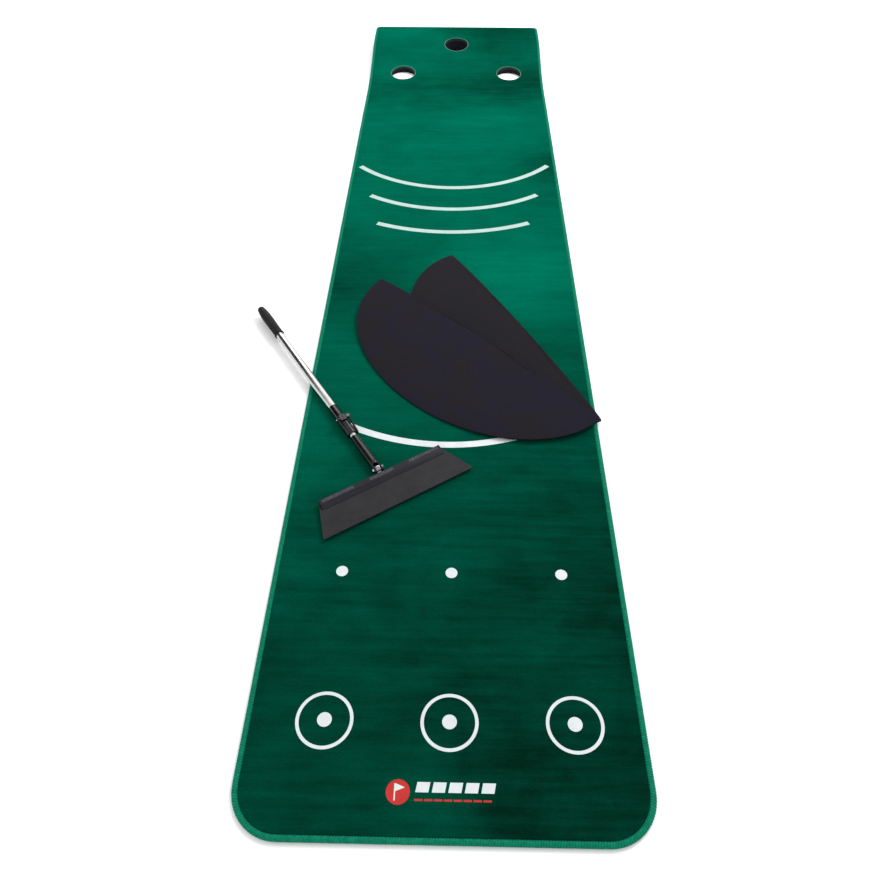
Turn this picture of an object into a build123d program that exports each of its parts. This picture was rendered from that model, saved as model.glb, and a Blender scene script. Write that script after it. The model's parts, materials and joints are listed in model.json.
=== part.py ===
from build123d import *
import math
import os

# Practice putting mat: a long cut-pile mat whose far end climbs a foam ramp to three cups, with two
# loose foam pads that make a break under the mat, and a telescopic tool that grooms the pile.
# Millimetres. +X runs across the mat, +Y along it towards the cups and +Z up. The origin is on the
# floor, at the centre of the mat's footprint. The tool and the pads lie on the mat, as put down.

os.makedirs("parts", exist_ok=True)

# ---- mat ----
mat_length = 3000.0
mat_width = 650.0
backing_thick = 2.0
pile_thick = 6.0
binding_width = 10.0
near_corner_radius = 80.0
far_corner_radius = 18.0

# ---- ramp under the far end, and the cups cut through it ----
ramp_start = 1020.0  # where the mat leaves the floor, along Y
ramp_angle = 11.0
ramp_foot_radius = 1000.0
ramp_straight = 122.0
ramp_brow_radius = 400.0
ramp_toe = 2.0  # thickness of the foam's front edge
cup_radius = 45.0
side_cup_x = 200.0
side_cup_y = 1150.0
centre_cup_y = 1337.0

# ---- foam break pads ----
pad_length = 706.0
pad_depth = 248.0
pad_rim = 3.0
pad_thick = 20.0
pad_shoulder_height = 13.2  # where the crown starts to flatten
pad_shoulder_share = 0.72  # size of the section there, to the pad's outline
pad_crown_share = 0.35  # size of the flat at the top
pad_tip_radius = 5.0
rear_pad_corner = (-1.7, -25.7)  # far end of its straight side
rear_pad_heading = -61.4
front_pad_corner = (-185.0, -165.8)
front_pad_heading = -43.6

# ---- groomer: where it lies ----
pivot_x = -147.8
pivot_y = -801.3
tool_heading = 33.0  # of the head's length, from +X

# ---- groomer head ----
head_front = 344.0
head_back = 282.0
head_depth = 86.0
head_gap = 12.0  # from the head's back edge to the pivot
plate_thick = 3.0
plate_corner = 3.0
brush_thick = 5.0
brush_inset = 6.0
bar_depth = 22.0
bar_height = 6.0
bar_flat = 12.0
bar_lip = 1.0
bar_edge_radius = 0.8
rib_width = 8.0
rib_proud = 0.6
rib_sink = 1.0
rib_pitch = 2.5
rib_groove = 1.0
centre_rib_length = 54.0
side_rib_length = 70.0
side_rib_x = 100.0
head_screw_places = (-90.0, -30.0, 0.0, 30.0, 90.0)
head_screw_back = 8.0  # from the head's back edge
head_screw_radius = 1.5
head_screw_head_radius = 3.0
head_screw_length = 6.0

# ---- pivot between head and handle ----
pivot_radius = 2.5
eye_radius = 7.5
eye_width = 10.0
stem_thick = 4.0
stem_length = 14.0  # inside the clamp bar
fork_radius = 9.0
fork_width = 18.0
fork_slot_depth = 10.5
bolt_head_radius = 4.2
bolt_head_height = 2.4
bolt_head_taper = 20.0
pivot_nut_across = 8.0
pivot_nut_height = 3.5
washer_thick = 0.8
washer_radius = 4.8

# ---- handle: lengths are measured from the pivot, along the handle ----
socket_taper_start = 20.0
socket_end = 103.0
socket_root_radius = 10.0
socket_tip_radius = 8.8
socket_pin_place = 62.0
socket_pin_radius = 1.5
tube_wall = 0.9
inner_tube_radius = 7.4
inner_tube_start = 17.0
inner_tube_end = 484.0
outer_tube_radius = 9.5
outer_tube_start = 173.0
outer_tube_end = 595.0
glide_length = 15.0
collar_start = 111.0
collar_end = 206.0
collar_radius = 11.5
collar_step = 169.0  # where the clamping head ends and the plain sleeve starts
collar_sleeve_wall = 1.5  # of the plain sleeve, over the outer tube
collar_sleeve_radius = outer_tube_radius + collar_sleeve_wall
collar_split = 1.2
lug_start = 148.0
lug_end = 164.0
lug_half_width = 6.5
lug_height = 16.4
clamp_place = 156.0
clamp_rise = 12.9  # clamp screw above the handle's axis
clamp_screw_radius = 1.5
clamp_screw_end = 2.0  # how far it stands out of the thumb nut
thumb_nut_radius = 3.2
thumb_nut_length = 7.5
lever_pin_radius = 2.2
cam_radius = 5.4
cam_height = 6.2
cam_slot = 3.8
lever_thick = 2.8
lever_reach = 43.0
lever_bend = 30.0  # where the arm has come down beside the collar
grip_start = 499.0
grip_taper_start = 581.0
grip_end = 620.0
grip_wall = 2.5
grip_radius = outer_tube_radius + grip_wall
grip_tip_radius = outer_tube_radius  # the grip tapers to the tube's own width, past its end
grip_nose_radius = 8.0
grip_flange_rim = 2.0
grip_flange_radius = grip_radius + grip_flange_rim
grip_flange_length = 4.0

# ---- clearances ----
rest_gap = 0.3  # between loose things that lie on each other
running_gap = 0.05  # radial, between parts that turn or slide in each other
side_gap = 0.3  # between faces that pass each other

mat_thick = backing_thick + pile_thick
climb = math.radians(ramp_angle)
straight_low = (
    ramp_start + ramp_foot_radius * math.sin(climb),
    ramp_foot_radius * (1 - math.cos(climb)),
)
straight_high = (
    straight_low[0] + ramp_straight * math.cos(climb),
    straight_low[1] + ramp_straight * math.sin(climb),
)
foot_centre = (ramp_start, ramp_foot_radius)
brow_centre = (
    straight_high[0] + ramp_brow_radius * math.sin(climb),
    straight_high[1] - ramp_brow_radius * math.cos(climb),
)
ramp_height = brow_centre[1] + ramp_brow_radius
ramp_end = mat_length / 2 - binding_width
over_mat = 2 * (ramp_height + mat_thick)  # tall enough to cut through everything
cups = [(-side_cup_x, side_cup_y), (side_cup_x, side_cup_y), (0, centre_cup_y)]


def at_angle(height):
    """Ends of the ramp's straight stretch, that height above the mat's underside."""
    shift = (-height * math.sin(climb), height * math.cos(climb))
    low = (straight_low[0] + shift[0], straight_low[1] + shift[1])
    high = (straight_high[0] + shift[0], straight_high[1] + shift[1])
    return low, high


def mat_surface(height):
    """The lines and arcs, seen from the side, of a face that height above the underside."""
    low, high = at_angle(height)
    Line((-mat_length / 2, height), (ramp_start, height))
    CenterArc(foot_centre, ramp_foot_radius - height, -90, ramp_angle)
    Line(low, high)
    CenterArc(brow_centre, ramp_brow_radius + height, 90 + ramp_angle, -ramp_angle)
    Line((brow_centre[0], ramp_height + height), (mat_length / 2, ramp_height + height))


def mat_layer(bottom, top):
    """A sketch of one layer of the mat, seen from the side."""
    with BuildSketch(Plane.YZ) as layer:
        with BuildLine():
            mat_surface(bottom)
            mat_surface(top)
            Line((-mat_length / 2, bottom), (-mat_length / 2, top))
            Line((mat_length / 2, ramp_height + bottom), (mat_length / 2, ramp_height + top))
        make_face()
    return layer.sketch


def mat_outline(inset):
    """The mat's outline in plan, moved in by inset."""
    half_x = mat_width / 2 - inset
    half_y = mat_length / 2 - inset
    with BuildSketch() as outline:
        Rectangle(2 * half_x, 2 * half_y)
        near = outline.vertices().group_by(Axis.Y)[0]
        fillet(near, near_corner_radius - inset)
        far = outline.vertices().group_by(Axis.Y)[-1]
        fillet(far, far_corner_radius - inset)
    return outline.sketch


def cut_cups():
    """The three round cups, straight down through everything."""
    with BuildSketch() as circles:
        with Locations(*cups):
            Circle(cup_radius)
    extrude(circles.sketch, amount=over_mat, both=True, mode=Mode.SUBTRACT)


# The pile and the backing are two sheets bonded face to face, inside the binding.
with BuildPart() as turf_pile:
    extrude(mat_layer(backing_thick, mat_thick), amount=mat_width / 2, both=True)
    extrude(mat_outline(binding_width), amount=over_mat, mode=Mode.INTERSECT)
    cut_cups()
turf_pile.part.label = "turf_pile"
export_step(turf_pile.part, "parts/turf_pile.step")

with BuildPart() as non_slip_backing:
    extrude(mat_layer(0, backing_thick), amount=mat_width / 2, both=True)
    extrude(mat_outline(binding_width), amount=over_mat, mode=Mode.INTERSECT)
    cut_cups()
non_slip_backing.part.label = "non_slip_backing"
export_step(non_slip_backing.part, "parts/non_slip_backing.step")



def binding_band():
    """The sewn binding, all round the edge, flat and up the ramp."""
    extrude(mat_layer(0, mat_thick), amount=mat_width / 2, both=True)
    extrude(mat_outline(0), amount=over_mat, mode=Mode.INTERSECT)
    extrude(mat_outline(binding_width), amount=over_mat, mode=Mode.SUBTRACT)


# The binding is two strips that meet where the ramp starts.
with BuildPart() as edge_binding:
    binding_band()
    split(bisect_by=Plane.XZ.offset(-ramp_start), keep=Keep.TOP)
edge_binding.part.label = "edge_binding"
export_step(edge_binding.part, "parts/edge_binding.step")

with BuildPart() as ramp_binding:
    binding_band()
    split(bisect_by=Plane.XZ.offset(-ramp_start), keep=Keep.BOTTOM)
ramp_binding.part.label = "ramp_binding"
export_step(ramp_binding.part, "parts/ramp_binding.step")

toe_angle = math.degrees(math.acos(1 - ramp_toe / ramp_foot_radius))
toe_y = ramp_start + ramp_foot_radius * math.sin(math.radians(toe_angle))
with BuildPart() as end_ramp:
    with BuildSketch(Plane.YZ):
        with BuildLine():
            Line((ramp_end, 0), (toe_y, 0))
            Line((toe_y, 0), (toe_y, ramp_toe))
            CenterArc(foot_centre, ramp_foot_radius, toe_angle - 90, ramp_angle - toe_angle)
            Line(straight_low, straight_high)
            CenterArc(brow_centre, ramp_brow_radius, 90 + ramp_angle, -ramp_angle)
            Line((brow_centre[0], ramp_height), (ramp_end, ramp_height))
            Line((ramp_end, ramp_height), (ramp_end, 0))
        make_face()
    extrude(amount=mat_width / 2 - binding_width, both=True)
    cut_cups()
end_ramp.part.label = "end_ramp"
export_step(end_ramp.part, "parts/end_ramp.step")


def half_oval(plane, height, scale):
    """A section of a pad: half an ellipse with its straight side on local X."""
    with BuildSketch(plane.offset(height)) as section:
        Ellipse(scale * pad_length / 2, scale * pad_depth)
        Rectangle(
            2 * pad_length,
            2 * pad_depth,
            align=(Align.CENTER, Align.MAX),
            mode=Mode.INTERSECT,
        )
        fillet(section.vertices(), scale * pad_tip_radius)
    return section.sketch


def pad_foam(plane):
    """A pad is thin along its curved rim and thick at the middle of its straight side."""
    extrude(half_oval(plane, 0, 1), amount=pad_rim)
    crown = [
        half_oval(plane, pad_rim, 1),
        half_oval(plane, pad_shoulder_height, pad_shoulder_share),
        half_oval(plane, pad_thick, pad_crown_share),
    ]
    loft(crown, ruled=True)


def pad_plane(corner, heading, height, tilt):
    """A pad's underside. Its rim is at this height, and the tilt lifts its straight side."""
    along = Vector(1, 0, 0).rotate(Axis.Z, heading)
    middle = Vector(corner[0], corner[1], 0) + along * (pad_length / 2)
    lift = height + pad_depth * math.sin(math.radians(tilt))
    normal = Vector(0, 0, 1).rotate(Axis((0, 0, 0), along), tilt)
    return Plane(origin=(middle.X, middle.Y, lift), x_dir=along, z_dir=normal)


# The rear pad lies flat on the mat. The front pad leans on it, with its rim on the mat.
pad_floor = mat_thick + rest_gap
with BuildPart() as rear_break_pad:
    pad_foam(pad_plane(rear_pad_corner, rear_pad_heading, pad_floor, 0))
rear_break_pad.part.label = "rear_break_pad"
export_step(rear_break_pad.part, "parts/rear_break_pad.step")

front_tilt = math.degrees(math.asin((pad_thick + rest_gap) / pad_depth))
with BuildPart() as front_break_pad:
    pad_foam(pad_plane(front_pad_corner, front_pad_heading, pad_floor, front_tilt))
front_break_pad.part.label = "front_break_pad"
export_step(front_break_pad.part, "parts/front_break_pad.step")


# ---- groomer: local X along the head, local Y from the pivot along the handle ----
axis_height = mat_thick + rest_gap + max(collar_radius, collar_sleeve_radius)
tool = Plane(
    origin=(pivot_x, pivot_y, axis_height),
    x_dir=Vector(1, 0, 0).rotate(Axis.Z, tool_heading),
    z_dir=(0, 0, 1),
)
handle_axis = Axis(tool.origin, tool.y_dir)


def level(height):
    """A plane parallel to the floor, that far above it. Sketches are (along head, along handle)."""
    return tool.offset(height - axis_height)


def beside(x):
    """A plane across the head's length. Sketches are (along handle, up from the axis)."""
    origin = tool.from_local_coords((x, 0, 0))
    return Plane(origin=origin, x_dir=tool.y_dir, z_dir=tool.x_dir)


def across(place):
    """A plane square to the handle, that far from the pivot."""
    origin = tool.from_local_coords((0, place, 0))
    return Plane(origin=origin, x_dir=tool.x_dir, z_dir=tool.y_dir)


def turned(*points):
    """A solid of revolution about the handle, from (radius, place) corners."""
    with BuildSketch(tool) as profile:
        with BuildLine():
            Polyline(*points, close=True)
        make_face()
    revolve(profile.sketch, axis=handle_axis)


def pipe(outer, wall, start, end):
    """A round tube along the handle."""
    with BuildSketch(across(start)) as ring:
        Circle(outer)
        Circle(outer - wall, mode=Mode.SUBTRACT)
    extrude(ring.sketch, amount=end - start)


def head_shape(plane, inset):
    """The head in plan: a trapezoid, longer along its front edge."""
    with BuildSketch(plane) as outline:
        with BuildLine():
            Polyline(
                (-head_front / 2, -head_gap - head_depth),
                (head_front / 2, -head_gap - head_depth),
                (head_back / 2, -head_gap),
                (-head_back / 2, -head_gap),
                close=True,
            )
        make_face()
        if inset:
            offset(amount=-inset, kind=Kind.INTERSECTION)
        fillet(outline.vertices(), plate_corner)
    return outline.sketch


plate_bottom = mat_thick + rest_gap + brush_thick
plate_top = plate_bottom + plate_thick
bar_top = plate_top + bar_height
screw_spots = [(x, -head_gap - head_screw_back) for x in head_screw_places]
screw_head_height = head_screw_head_radius - head_screw_radius


def cut_screw_seats():
    """Countersunk holes, up through the plate and into what is over it."""
    with BuildSketch(level(plate_bottom)) as shanks:
        with Locations(*screw_spots):
            Circle(head_screw_radius)
    extrude(shanks.sketch, amount=head_screw_length, mode=Mode.SUBTRACT)
    with Locations(level(plate_bottom)):
        with Locations(*screw_spots):
            Cone(
                head_screw_head_radius,
                head_screw_radius,
                screw_head_height,
                align=(Align.CENTER, Align.CENTER, Align.MIN),
                mode=Mode.SUBTRACT,
            )


with BuildPart() as brush_pad:
    extrude(head_shape(level(mat_thick + rest_gap), brush_inset), amount=brush_thick)
brush_pad.part.label = "brush_pad"
export_step(brush_pad.part, "parts/brush_pad.step")

with BuildPart() as head_plate:
    extrude(head_shape(level(plate_bottom), 0), amount=plate_thick)
    cut_screw_seats()
head_plate.part.label = "head_plate"
export_step(head_plate.part, "parts/head_plate.step")

rib_strips = [
    (-side_rib_x, side_rib_length),
    (0, centre_rib_length),
    (side_rib_x, side_rib_length),
]
rib_middle = -head_gap - bar_flat / 2
with BuildPart() as clamp_bar:
    with BuildSketch(beside(0)):
        with BuildLine():
            Polyline(
                (-head_gap, plate_top - axis_height),
                (-head_gap, bar_top - axis_height),
                (-head_gap - bar_flat, bar_top - axis_height),
                (-head_gap - bar_depth, plate_top + bar_lip - axis_height),
                (-head_gap - bar_depth, plate_top - axis_height),
                close=True,
            )
        make_face()
    extrude(amount=head_back / 2, both=True)
    fillet(clamp_bar.faces().sort_by(Axis.Z)[-1].edges(), bar_edge_radius)
    with BuildSketch(level(bar_top)):
        for strip_x, strip_length in rib_strips:
            with Locations((strip_x, rib_middle)):
                Rectangle(strip_length, rib_width)
    extrude(amount=-rib_sink, mode=Mode.SUBTRACT)
    with BuildSketch(level(plate_top)):
        with Locations((0, -head_gap)):
            Rectangle(eye_width, stem_length, align=(Align.CENTER, Align.MAX))
    extrude(amount=stem_thick, mode=Mode.SUBTRACT)
    cut_screw_seats()
clamp_bar.part.label = "clamp_bar"
export_step(clamp_bar.part, "parts/clamp_bar.step")

# Three soft strips let into the bar, with fine ribs across them.
with BuildPart() as rib_inserts:
    with BuildSketch(level(bar_top - rib_sink)):
        for strip_x, strip_length in rib_strips:
            with Locations((strip_x, rib_middle)):
                Rectangle(strip_length, rib_width)
    extrude(amount=rib_sink + rib_proud)
    with BuildSketch(level(bar_top + rib_proud)):
        for strip_x, strip_length in rib_strips:
            grooves = int(strip_length / rib_pitch) - 1
            with Locations((strip_x, rib_middle)):
                with GridLocations(rib_pitch, 0, grooves, 1):
                    Rectangle(rib_groove, 2 * rib_width)
    extrude(amount=-rib_proud, mode=Mode.SUBTRACT)
rib_inserts.part.label = "rib_inserts"
export_step(rib_inserts.part, "parts/rib_inserts.step")

with BuildPart() as head_screws:
    with BuildSketch(level(plate_bottom)):
        with Locations(*screw_spots):
            Circle(head_screw_radius)
    extrude(amount=head_screw_length)
    with Locations(level(plate_bottom)):
        with Locations(*screw_spots):
            Cone(
                head_screw_head_radius,
                head_screw_radius,
                screw_head_height,
                align=(Align.CENTER, Align.CENTER, Align.MIN),
            )
head_screws.part.label = "head_screws"
export_step(head_screws.part, "parts/head_screws.step")

# The steel eye is clamped between plate and bar, and the handle's fork straddles it.
with BuildPart() as pivot_eye:
    with BuildSketch(beside(0)):
        Circle(eye_radius)
        with Locations((0, plate_top - axis_height)):
            Rectangle(head_gap + stem_length, stem_thick, align=(Align.MAX, Align.MIN))
        Circle(pivot_radius + running_gap, mode=Mode.SUBTRACT)
    extrude(amount=eye_width / 2, both=True)
    cut_screw_seats()
pivot_eye.part.label = "pivot_eye"
export_step(pivot_eye.part, "parts/pivot_eye.step")

# ---- lower handle: it tilts about the pivot bolt ----
with BuildPart() as handle_socket:
    turned(
        (0, -fork_radius),
        (socket_root_radius, -fork_radius),
        (socket_root_radius, socket_taper_start),
        (socket_tip_radius, socket_end),
        (0, socket_end),
    )
    with BuildSketch(beside(0)):
        Circle(fork_radius)
        Rectangle(socket_end, 2 * socket_root_radius, align=(Align.MIN, Align.CENTER))
    extrude(amount=socket_root_radius, both=True, mode=Mode.INTERSECT)
    with BuildSketch(tool):
        with Locations((0, fork_slot_depth)):
            Rectangle(
                eye_width + 2 * side_gap,
                fork_slot_depth + fork_radius,
                align=(Align.CENTER, Align.MAX),
            )
    extrude(amount=socket_root_radius, both=True, mode=Mode.SUBTRACT)
    for side in (-1, 1):
        with BuildSketch(beside(side * fork_width / 2)):
            Circle(washer_radius + side_gap)
        extrude(amount=side * socket_root_radius, mode=Mode.SUBTRACT)
    with BuildSketch(beside(0)):
        Circle(pivot_radius)
        with Locations((socket_pin_place, 0)):
            Circle(socket_pin_radius)
    extrude(amount=socket_root_radius, both=True, mode=Mode.SUBTRACT)
    with BuildSketch(across(inner_tube_start)):
        Circle(inner_tube_radius)
    extrude(amount=socket_end - inner_tube_start, mode=Mode.SUBTRACT)
handle_socket.part.label = "handle_socket"
export_step(handle_socket.part, "parts/handle_socket.step")

washer_outside = fork_width / 2 + washer_thick
with BuildPart() as pivot_washers:
    for side in (-1, 1):
        with BuildSketch(beside(side * fork_width / 2)):
            Circle(washer_radius)
            Circle(pivot_radius, mode=Mode.SUBTRACT)
        extrude(amount=side * washer_thick)
pivot_washers.part.label = "pivot_washers"
export_step(pivot_washers.part, "parts/pivot_washers.step")

with BuildPart() as pivot_bolt:
    with BuildSketch(beside(-washer_outside)):
        Circle(pivot_radius)
    extrude(amount=2 * washer_outside + pivot_nut_height)
    with BuildSketch(beside(-washer_outside)):
        Circle(bolt_head_radius)
    extrude(amount=-bolt_head_height, taper=bolt_head_taper)
pivot_bolt.part.label = "pivot_bolt"
export_step(pivot_bolt.part, "parts/pivot_bolt.step")

with BuildPart() as pivot_nut:
    with BuildSketch(beside(washer_outside)):
        RegularPolygon(pivot_nut_across / 2, 6, major_radius=False)
        Circle(pivot_radius, mode=Mode.SUBTRACT)
    extrude(amount=pivot_nut_height)
pivot_nut.part.label = "pivot_nut"
export_step(pivot_nut.part, "parts/pivot_nut.step")

with BuildPart() as inner_tube:
    pipe(inner_tube_radius, tube_wall, inner_tube_start, inner_tube_end)
    with BuildSketch(beside(0)):
        with Locations((socket_pin_place, 0)):
            Circle(socket_pin_radius)
    extrude(amount=inner_tube_radius, both=True, mode=Mode.SUBTRACT)
inner_tube.part.label = "inner_tube"
export_step(inner_tube.part, "parts/inner_tube.step")

with BuildPart() as socket_pin:
    with BuildSketch(beside(0)):
        with Locations((socket_pin_place, 0)):
            Circle(socket_pin_radius)
    extrude(amount=socket_tip_radius, both=True)
socket_pin.part.label = "socket_pin"
export_step(socket_pin.part, "parts/socket_pin.step")

# A plug in the inner tube's end, whose collar glides in the outer tube.
glide_radius = outer_tube_radius - tube_wall - running_gap
with BuildPart() as glide_bush:
    turned(
        (0, inner_tube_end - glide_length),
        (inner_tube_radius - tube_wall, inner_tube_end - glide_length),
        (inner_tube_radius - tube_wall, inner_tube_end),
        (glide_radius, inner_tube_end),
        (glide_radius, inner_tube_end + glide_length),
        (0, inner_tube_end + glide_length),
    )
glide_bush.part.label = "glide_bush"
export_step(glide_bush.part, "parts/glide_bush.step")

# ---- upper handle: it slides out along the inner tube ----
with BuildPart() as outer_tube:
    pipe(outer_tube_radius, tube_wall, outer_tube_start, outer_tube_end)
outer_tube.part.label = "outer_tube"
export_step(outer_tube.part, "parts/outer_tube.step")

thumb_nut_outside = lug_half_width + thumb_nut_length
lever_pin_x = lug_half_width + side_gap + cam_radius
with BuildPart() as clamp_collar:
    turned(
        (0, collar_start),
        (collar_radius, collar_start),
        (collar_radius, collar_step),
        (collar_sleeve_radius, collar_step),
        (collar_sleeve_radius, collar_end),
        (0, collar_end),
    )
    with BuildSketch(tool):
        with Locations((0, lug_start)):
            Rectangle(2 * lug_half_width, lug_end - lug_start, align=(Align.CENTER, Align.MIN))
    extrude(amount=lug_height)
    with BuildSketch(across(collar_start)):
        Circle(inner_tube_radius + running_gap)
    extrude(amount=collar_end - collar_start, mode=Mode.SUBTRACT)
    with BuildSketch(across(outer_tube_start)):
        Circle(outer_tube_radius)
    extrude(amount=collar_end - outer_tube_start, mode=Mode.SUBTRACT)
    with BuildSketch(tool):
        with Locations((0, collar_start)):
            Rectangle(
                collar_split, collar_step - collar_start, align=(Align.CENTER, Align.MIN)
            )
    extrude(amount=lug_height, mode=Mode.SUBTRACT)
    with BuildSketch(beside(0)):
        with Locations((clamp_place, clamp_rise)):
            Circle(clamp_screw_radius)
    extrude(amount=lug_half_width, both=True, mode=Mode.SUBTRACT)
clamp_collar.part.label = "clamp_collar"
export_step(clamp_collar.part, "parts/clamp_collar.step")

with BuildPart() as clamp_screw:
    with BuildSketch(beside(-thumb_nut_outside - clamp_screw_end)):
        with Locations((clamp_place, clamp_rise)):
            Circle(clamp_screw_radius)
    extrude(amount=thumb_nut_outside + clamp_screw_end + lever_pin_x)
clamp_screw.part.label = "clamp_screw"
export_step(clamp_screw.part, "parts/clamp_screw.step")

with BuildPart() as clamp_thumb_nut:
    with BuildSketch(beside(-lug_half_width)):
        with Locations((clamp_place, clamp_rise)):
            Circle(thumb_nut_radius)
            Circle(clamp_screw_radius, mode=Mode.SUBTRACT)
    extrude(amount=-thumb_nut_length)
clamp_thumb_nut.part.label = "clamp_thumb_nut"
export_step(clamp_thumb_nut.part, "parts/clamp_thumb_nut.step")

# The lever turns on a barrel that the clamp screw is threaded into.
cam_bottom = tool.offset(clamp_rise - cam_height / 2)
with BuildPart() as lever_pin:
    with BuildSketch(cam_bottom):
        with Locations((lever_pin_x, clamp_place)):
            Circle(lever_pin_radius)
    extrude(amount=cam_height)
    with BuildSketch(beside(lever_pin_x)):
        with Locations((clamp_place, clamp_rise)):
            Circle(clamp_screw_radius)
    extrude(amount=-2 * lever_pin_radius, mode=Mode.SUBTRACT)
lever_pin.part.label = "lever_pin"
export_step(lever_pin.part, "parts/lever_pin.step")

cam_low = clamp_rise - cam_height / 2
cam_high = clamp_rise + cam_height / 2
with BuildPart() as clamp_lever:
    with BuildSketch(cam_bottom):
        with Locations((lever_pin_x, clamp_place)):
            Circle(cam_radius)
    extrude(amount=cam_height)
    with BuildSketch(beside(lever_pin_x)) as arm:
        with BuildLine():
            Polyline(
                (clamp_place + lever_pin_radius, cam_high),
                (clamp_place + lever_pin_radius, cam_low),
                (clamp_place - cam_radius, cam_low),
                (clamp_place - lever_bend, -cam_height / 2),
                (clamp_place - lever_reach, -cam_height / 2),
                (clamp_place - lever_reach, cam_height / 2),
                (clamp_place - lever_bend, cam_height / 2 + lever_thick),
                (clamp_place - cam_radius, cam_high),
                close=True,
            )
        make_face()
    extrude(amount=lever_thick)
    with BuildSketch(cam_bottom):
        with Locations((lever_pin_x, clamp_place)):
            Circle(lever_pin_radius + running_gap)
    extrude(amount=cam_height, mode=Mode.SUBTRACT)
    with BuildSketch(tool.offset(clamp_rise)):
        with Locations((lever_pin_x + cam_slot / 2, clamp_place - cam_slot / 2)):
            Rectangle(2 * cam_radius, 2 * cam_radius, align=(Align.MAX, Align.MIN))
    extrude(amount=cam_slot / 2, both=True, mode=Mode.SUBTRACT)
clamp_lever.part.label = "clamp_lever"
export_step(clamp_lever.part, "parts/clamp_lever.step")

with BuildPart() as handle_grip:
    with BuildSketch(tool) as grip_half:
        with BuildLine():
            Polyline(
                (0, grip_start),
                (grip_flange_radius, grip_start),
                (grip_flange_radius, grip_start + grip_flange_length),
                (grip_radius, grip_start + grip_flange_length),
                (grip_radius, grip_taper_start),
                (grip_tip_radius, grip_end),
                (0, grip_end),
                close=True,
            )
        make_face()
        nose = grip_half.vertices().group_by(Axis.Y)[-1].sort_by(Axis.X)[-1]
        fillet(nose, grip_nose_radius)
    revolve(axis=handle_axis)
    with BuildSketch(across(grip_start)):
        Circle(outer_tube_radius)
    extrude(amount=outer_tube_end - grip_start, mode=Mode.SUBTRACT)
handle_grip.part.label = "handle_grip"
export_step(handle_grip.part, "parts/handle_grip.step")

print("pivot", tool.origin, "along head", tool.x_dir, "along handle", tool.y_dir)
print("lever pin", tool.from_local_coords((lever_pin_x, clamp_place, clamp_rise)))
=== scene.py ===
"""Looks of a practice putting mat with its foam break pads and its pile groomer.

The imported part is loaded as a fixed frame. Every piece is made in metres, in the part's own
frame: +X across the mat, +Y along it towards the cups, +Z up from the floor.
"""

import json
import math

import bpy
from bpy.props import FloatProperty, FloatVectorProperty, IntProperty, PointerProperty
from mathutils import Matrix, Vector, noise

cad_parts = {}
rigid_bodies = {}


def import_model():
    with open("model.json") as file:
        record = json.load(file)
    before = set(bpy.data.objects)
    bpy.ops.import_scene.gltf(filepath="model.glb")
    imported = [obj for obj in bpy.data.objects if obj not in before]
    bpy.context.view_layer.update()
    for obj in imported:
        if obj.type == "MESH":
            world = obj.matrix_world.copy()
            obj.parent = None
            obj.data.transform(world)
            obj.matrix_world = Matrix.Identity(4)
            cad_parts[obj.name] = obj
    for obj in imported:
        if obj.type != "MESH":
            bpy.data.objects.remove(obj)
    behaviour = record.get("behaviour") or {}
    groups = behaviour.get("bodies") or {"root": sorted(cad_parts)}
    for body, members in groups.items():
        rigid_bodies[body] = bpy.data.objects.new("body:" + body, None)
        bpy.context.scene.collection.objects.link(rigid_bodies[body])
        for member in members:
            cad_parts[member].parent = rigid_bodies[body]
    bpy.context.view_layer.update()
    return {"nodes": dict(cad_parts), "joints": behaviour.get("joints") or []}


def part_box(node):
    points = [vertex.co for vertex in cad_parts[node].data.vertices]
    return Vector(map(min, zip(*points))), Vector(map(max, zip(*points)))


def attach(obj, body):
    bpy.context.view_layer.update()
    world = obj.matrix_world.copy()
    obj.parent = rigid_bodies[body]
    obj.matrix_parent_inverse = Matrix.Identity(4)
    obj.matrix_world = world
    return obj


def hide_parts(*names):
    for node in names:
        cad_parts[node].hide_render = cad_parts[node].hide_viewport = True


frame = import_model()

bl_info = {
    "name": "Putting Mat",
    "version": (1, 0, 0),
    "blender": (4, 5, 0),
    "location": "View3D > Sidebar > Putting Mat",
    "description": "Builds a putting mat, its break pads and its groomer on a packed part",
    "category": "Add Mesh",
}

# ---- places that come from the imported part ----
TURF_LOW, TURF_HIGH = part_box("turf_pile")
BAND_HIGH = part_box("edge_binding")[1]
RAMP_LOW, RAMP_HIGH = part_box("end_ramp")
HALF_WIDTH = BAND_HIGH.x
HALF_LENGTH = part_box("ramp_binding")[1].y
BAND_WIDTH = HALF_WIDTH - TURF_HIGH.x
MAT_THICK = BAND_HIGH.z
BACKING_THICK = TURF_LOW.z
RAMP_START = BAND_HIGH.y
RAMP_HEIGHT = RAMP_HIGH.z
RAMP_ANGLE = math.radians(11)
FOOT_RADIUS = 1.0
BROW_RADIUS = 0.4
NEAR_CORNER = 0.08
FAR_CORNER = 0.018
CUP_RADIUS = 0.045
CUPS = [(-0.2, 1.15), (0.2, 1.15), (0.0, 1.337)]

# ---- the groomer's own directions ----
TILT = next(j for j in frame["joints"] if j["name"] == "handle_tilt")
PIVOT = Vector(TILT["pos_m"])
ALONG_HEAD = Vector(TILT["axis"]).normalized()
ALONG_HANDLE = Vector((0, 0, 1)).cross(ALONG_HEAD)
TOOL = Matrix((ALONG_HEAD, ALONG_HANDLE, (0, 0, 1))).transposed().to_4x4()
TOOL.translation = PIVOT

SAME_PLACE = 1e-5  # points nearer than this are merged


# -------- settings --------


def number(name, default, description):
    """A setting that is a plain number."""
    return FloatProperty(name=name, default=default, description=description)


def length(name, default, description):
    """A setting that is a length in metres."""
    return FloatProperty(name=name, default=default, description=description, unit="LENGTH")


def colour(name, default, description):
    """A setting that is a colour."""
    settings = {"name": name, "default": default, "description": description}
    return FloatVectorProperty(subtype="COLOR", **settings)


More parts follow.
